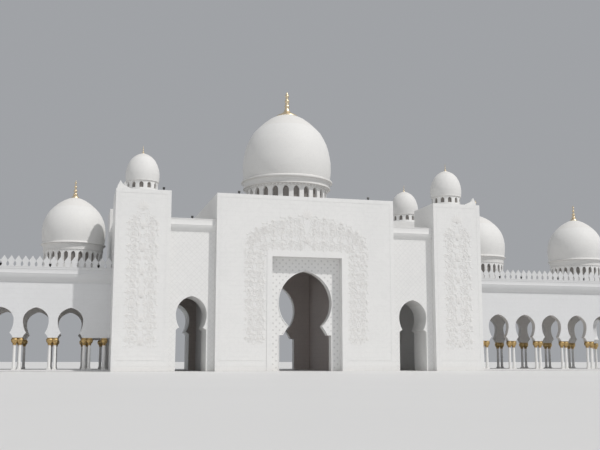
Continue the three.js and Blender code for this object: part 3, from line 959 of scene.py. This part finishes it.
# Gilt finials: points of radius and height, and the balls between them
mainFinialSet = {
    "foot": [(0, 3.66), (0.148, 3.662), (0.155, 3.672), (0.152, 3.682), (0.13, 3.694), (0.103, 3.706),
             (0.08, 3.72), (0.06, 3.736), (0.045, 3.755), (0.035, 3.778), (0.031, 3.797)],
    "balls": [(0.037, 3.825), (0.035, 3.905), (0.03, 3.985)], "stem": 0.028, "tip": 4.049, "segments": 48,
}
arcadeFinialSet = {
    "foot": [(0, 2.3), (0.054, 2.304), (0.055, 2.313), (0.047, 2.326), (0.035, 2.34)],
    "balls": [(0.031, 2.362), (0.026, 2.412), (0.021, 2.466), (0.016, 2.522)], "stem": 0.013, "tip": 2.563,
    "segments": 32,
}
towerFinialSet = {
    "foot": [(0, 2.8), (0.022, 2.803), (0.017, 2.812), (0.009, 2.82)],
    "balls": [(0.01, 2.832), (0.008, 2.86), (0.006, 2.886)], "stem": 0.004, "tip": 2.918, "segments": 20,
}


def finialMesh(name, s):
    profile = list(s["foot"])
    for n, (ball, middle) in enumerate(s["balls"]):
        stem = s["stem"] * (1 - 0.18 * n)
        for k in range(-4, 5):
            turn = math.pi / 2 * k / 4
            profile.append((max(ball * math.cos(turn), stem), middle + ball * 0.78 * math.sin(turn)))
        profile.append((stem, middle + ball * 0.78 + 0.002))
    profile += [(s["stem"] * 0.4, s["tip"] - 0.012), (0, s["tip"])]
    return turned(name, profile, s["segments"], 50)


def placeDomes(kind, labels, domeSet, finialSet, finialNode=None):
    meshes, finial = domeMeshes(domeSet), finialMesh(kind + "Finial", finialSet)
    for label in labels:
        title, node = kind + "Dome" + titled(label), kind + "_dome" + label
        place = (middleOf(node).x, middleOf(node).y, 0)
        for part, look in (("Drum", "smooth"), ("Shell", "dome"), ("Panes", "glass")):
            addPiece(title + part, meshes[part], [look], replaced=[node], place=place)
        addPiece(title + "Finial", finial, ["paleGilt"], [finialNode or node], place)


placeDomes("main", [""], mainDomeSet, mainFinialSet, "main_finial")
placeDomes("tower", ["_" + label for label, x, y in fourCorners], towerDomeSet, towerFinialSet)
placeDomes("arcade", ["_left_1", "_left_2", "_right_1", "_right_2"], arcadeDomeSet, arcadeFinialSet)
print("domes made")


# Arcade walls on twin columns
arcadeSet = {
    "arch": {"half": 0.1555, "widest": 0.63, "apex": 0.793, "neckHalf": 0.112, "neck": 0.474, "point": 0.045,
             "flare": (0.008, 0.006), "shoulderHalf": 0.152, "shoulder": 0.415, "jamb": 0.152, "steps": 14},
    "pitch": 0.42, "firstPier": 2.755, "endPier": 2.541, "bays": 6, "endBays": 3, "archTop": 0.9, "step": 0.02,
    "capitalTop": 0.415, "capitalFoot": 0.327, "capitalHalf": 0.041, "leaves": 8, "shaft": 0.019,
    "pairHalf": 0.0325, "plinth": 0.026,
    "base": [(0, 0.012), (0.0245, 0.012), (0.026, 0.017), (0.0245, 0.022), (0.0205, 0.024), (0.019, 0.029),
             (0.0215, 0.033), (0.0195, 0.037), (0.019, 0.042)],
    "capital": [(0.6, 0.18), (0.78, 0.3), (0.9, 0.43), (0.97, 0.56), (1, 0.69), (0.98, 0.79), (0.88, 0.86),
                (0.74, 0.89)],
}


# The lines of the front and back columns, and the pitch between them on the end
def columnLines(s):
    front, back = middleOf("arcade_right_front_wall").y, middleOf("arcade_right_back_wall").y
    return front, back, (back - front) / s["endBays"]


def archRow(s, first, pitch, count):
    return [keyhole(s["arch"], first + (i + 0.5) * pitch, s["capitalTop"]) for i in range(count)]


def arcadeWalls(s=arcadeSet):
    front, _, rowPitch = columnLines(s)
    walls = {}
    for part, x, y in frontBack:
        low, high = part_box(f"arcade_right_{part}_wall")
        outline = pierced(low.x, high.x, low.z, high.z, archRow(s, s["firstPier"], s["pitch"], s["bays"]))
        walls[part] = extruded(part + "Wall", outline, low.y, high.y)
        # the faces inside the arcade and the arch reveals take the darker aisle stone, painted shade
        innerFaces(walls[part], lambda centre, normal: normal.y * y > 0.7)
        innerFaces(walls[part], lambda centre, normal: abs(normal.y) < 0.5 and centre.z < s["archTop"]
                   and low.x + 0.01 < centre.x < high.x - 0.01)
    low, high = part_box("arcade_right_end_wall")
    outline = pierced(low.y, high.y, low.z, high.z, archRow(s, front, rowPitch, s["endBays"]))
    walls["end"] = extruded("endWall", outline, low.x, high.x, "yz")
    # the end wall's inside face takes the darker aisle stone too, painted shade
    innerFaces(walls["end"], lambda centre, normal: normal.x < -0.7)
    for part, mesh in walls.items():
        addCopies("arcade{}" + part.title() + "Wall", mesh, leftRight, ["arcade", "aisle"],
                  "arcade_{}_" + part + "_wall")


# A flared capital of upright leaves, and a slender shaft on a moulded base
def columnMeshes(s=arcadeSet):
    shaft, foot, top, half = s["shaft"], s["capitalFoot"], s["capitalTop"], s["capitalHalf"]
    step, plinth, rise, square = s["step"], s["plinth"], top - foot, half * s["capital"][1][0]
    bm = bmesh.new()
    addBox(bm, (-plinth, -plinth, step), (plinth, plinth, step + s["base"][0][1]))
    addTurned(bm, [(radius, step + height) for radius, height in s["base"]] + [
        (shaft * 1.02, foot * 0.45), (shaft * 0.9, foot - 0.004), (0, foot - 0.004)], 20)
    post = finishMesh(bm, "shaft")

    def leafy(turn, height):
        share = min(max((height - foot - 0.012) / (rise - 0.03), 0), 1)
        return 1 + 0.1 * math.sin(0.75 * math.pi * share) * abs(math.cos(s["leaves"] / 2 * turn)) ** 0.6

    bm = bmesh.new()
    addTurned(bm, [(0, foot - 0.004), (shaft * 1.05, foot - 0.004), (shaft * 1.3, foot + 0.002),
                   (shaft * 1.3, foot + 0.007), (shaft, foot + 0.01)]
              + [(half * out, foot + rise * up) for out, up in s["capital"]]
              + [(half * s["capital"][-1][0], top - 0.006), (0, top - 0.006)], 48, swell=leafy)
    addBox(bm, (-square, -square, top - 0.007), (square, square, top))
    return post, finishMesh(bm, "capital", 45)


def colonnades(s=arcadeSet):
    post, capital = columnMeshes()
    low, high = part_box("arcade_right_columns")
    front, back, rowPitch = columnLines(s)
    pair = (-s["pairHalf"], s["pairHalf"])
    piers = [s["firstPier"] + i * s["pitch"] for i in range(s["bays"] + 1)]
    spots = []
    for y in (front, back):
        spots += [(s["endPier"], y)] + [(pier + shift, y) for pier in piers for shift in pair]
    for i in range(1, s["endBays"]):
        spots += [(piers[-1], front + rowPitch * i + shift) for shift in pair]
    bm = bmesh.new()
    addBox(bm, (low.x, low.y, 0), (high.x, high.y, s["step"]))
    bmesh.ops.recalc_face_normals(bm, faces=bm.faces)
    bmesh.ops.bevel(bm, geom=list(bm.edges), offset=0.0025, segments=2, affect="EDGES")
    slab = finishMesh(bm, "arcadeStep")
    addCopies("arcade{}Step", slab, leftRight, ["arcade"], "arcade_{}_columns")
    for side, x, y in leftRight:
        node, title = [f"arcade_{side}_columns"], f"arcade{side.title()}"
        places = [(px * x, py, 0) for px, py in spots]
        addPiece(title + "Shafts", joined(title + "Shafts", post, places), ["smooth"], replaced=node)
        addPiece(title + "Capitals", joined(title + "Capitals", capital, places), ["gilt"], node)


# Cornice and pointed merlons round the three free sides. A merlon's edge goes from its foot to just under
# the tip, as shares of half its width and of its rise
parapetSet = {
    "fasciaTop": 1.3, "fasciaLow": 1.213, "foot": 1.112, "wallTop": 1.095, "tip": 1.435, "pitch": 0.085,
    "thick": 0.022, "reach": 0.052, "merlonReach": 0.046, "grooveHigh": 1.27, "grooveLow": 1.265,
    "grooveDeep": 0.003,
    "merlon": [(0.98, 0), (0.82, 0.03), (0.67, 0.09), (0.61, 0.17), (0.62, 0.26), (0.71, 0.35), (0.86, 0.43),
               (0.96, 0.48), (0.97, 0.55), (0.89, 0.6), (0.66, 0.7), (0.44, 0.8), (0.18, 0.93)],
}


# Merlons at an even pitch between two ends, with some left out at both
def addMerlons(bm, start, end, skipped, fronts, axes, s):
    low, rise = s["fasciaTop"], s["tip"] - s["fasciaTop"]
    count = round((end - start) / s["pitch"])
    pitch = (end - start) / count
    for i in range(skipped, count - skipped):
        middle = start + (i + 0.5) * pitch
        right = [(middle + pitch / 2 * x, low + rise * z) for x, z in s["merlon"]]
        outline = right + [(middle, s["tip"])] + [(2 * middle - x, z) for x, z in reversed(right)]
        for front in fronts:
            addExtrusion(bm, outline, front, front + s["thick"], axes)


def parapets(s=parapetSet):
    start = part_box("arcade_right_parapet")[0].x
    frontY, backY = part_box("arcade_right_front_wall")[0].y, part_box("arcade_right_back_wall")[1].y
    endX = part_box("arcade_right_end_wall")[1].x
    reach, foot, fascia, top = s["reach"], s["foot"], s["fasciaLow"], s["fasciaTop"]
    groove = reach - s["grooveDeep"]
    section = [(-0.05, s["wallTop"]), (0, s["wallTop"])] + corniceSwell(reach, foot, fascia) + [
        (reach, s["grooveLow"]), (groove, s["grooveLow"] + 0.001), (groove, s["grooveHigh"] - 0.001),
        (reach, s["grooveHigh"]), (reach, top - 0.008), (reach + 0.002, top - 0.006), (reach + 0.002, top),
        (reach - 0.04, top), (-0.05, top - 0.03)]
    corners = ((start, 0, frontY, -1), (endX, 1, frontY, -1), (endX, 1, backY, 1), (start, 0, backY, 1))
    bm = bmesh.new()
    addSkin(bm, [[bm.verts.new((x + out * wide, y + out * deep, z)) for out, z in section]
                 for x, wide, y, deep in corners])
    cornice = finishMesh(bm, "arcadeCornice")
    outer, inner = s["merlonReach"], s["merlonReach"] - s["thick"]
    bm = bmesh.new()
    addMerlons(bm, start, endX + reach, 0, (frontY - outer, backY + inner), "xz", s)
    addMerlons(bm, frontY - reach, backY + reach, 1, (endX + inner,), "yz", s)
    merlons = finishMesh(bm, "merlons")
    for part, mesh in (("Cornice", cornice), ("Merlons", merlons)):
        addCopies("arcade{}" + part, mesh, leftRight, ["arcadeSmooth"], "arcade_{}_parapet")


arcadeWalls()
colonnades()
parapets()
print("arcades made")


# Small dark floodlights along the roof edges: how far along, how far back and how high they stand
lampSet = {
    "high": [(-1.883, -1.13, 2.28), (-0.913, -1.13, 2.28), (0.852, -1.13, 2.28), (-1.506, -1.06, 1.938)],
    "low": [(x, -0.668, 1.31) for x in (-3.838, -3.241, -2.645, 3, 3.341, 3.937, 4.364)],
    "hood": [(-0.013, 0.01), (-0.006, 0.031), (0.008, 0.027), (0.012, 0.018), (0.002, 0.007)], "half": 0.015,
    "post": ((-0.008, -0.004, -0.014), (0.008, 0.005, 0.014)),
}


def roofLamps(s=lampSet):
    bm = bmesh.new()
    addExtrusion(bm, s["hood"], -s["half"], s["half"], "yz")
    addBox(bm, *s["post"])
    lamps = joined("roofLamps", finishMesh(bm, "lamp"), s["high"] + s["low"])
    addCopies("roofLamps{}", lamps, frontBack, ["lamp"])


roofLamps()
print("roof lamps made")
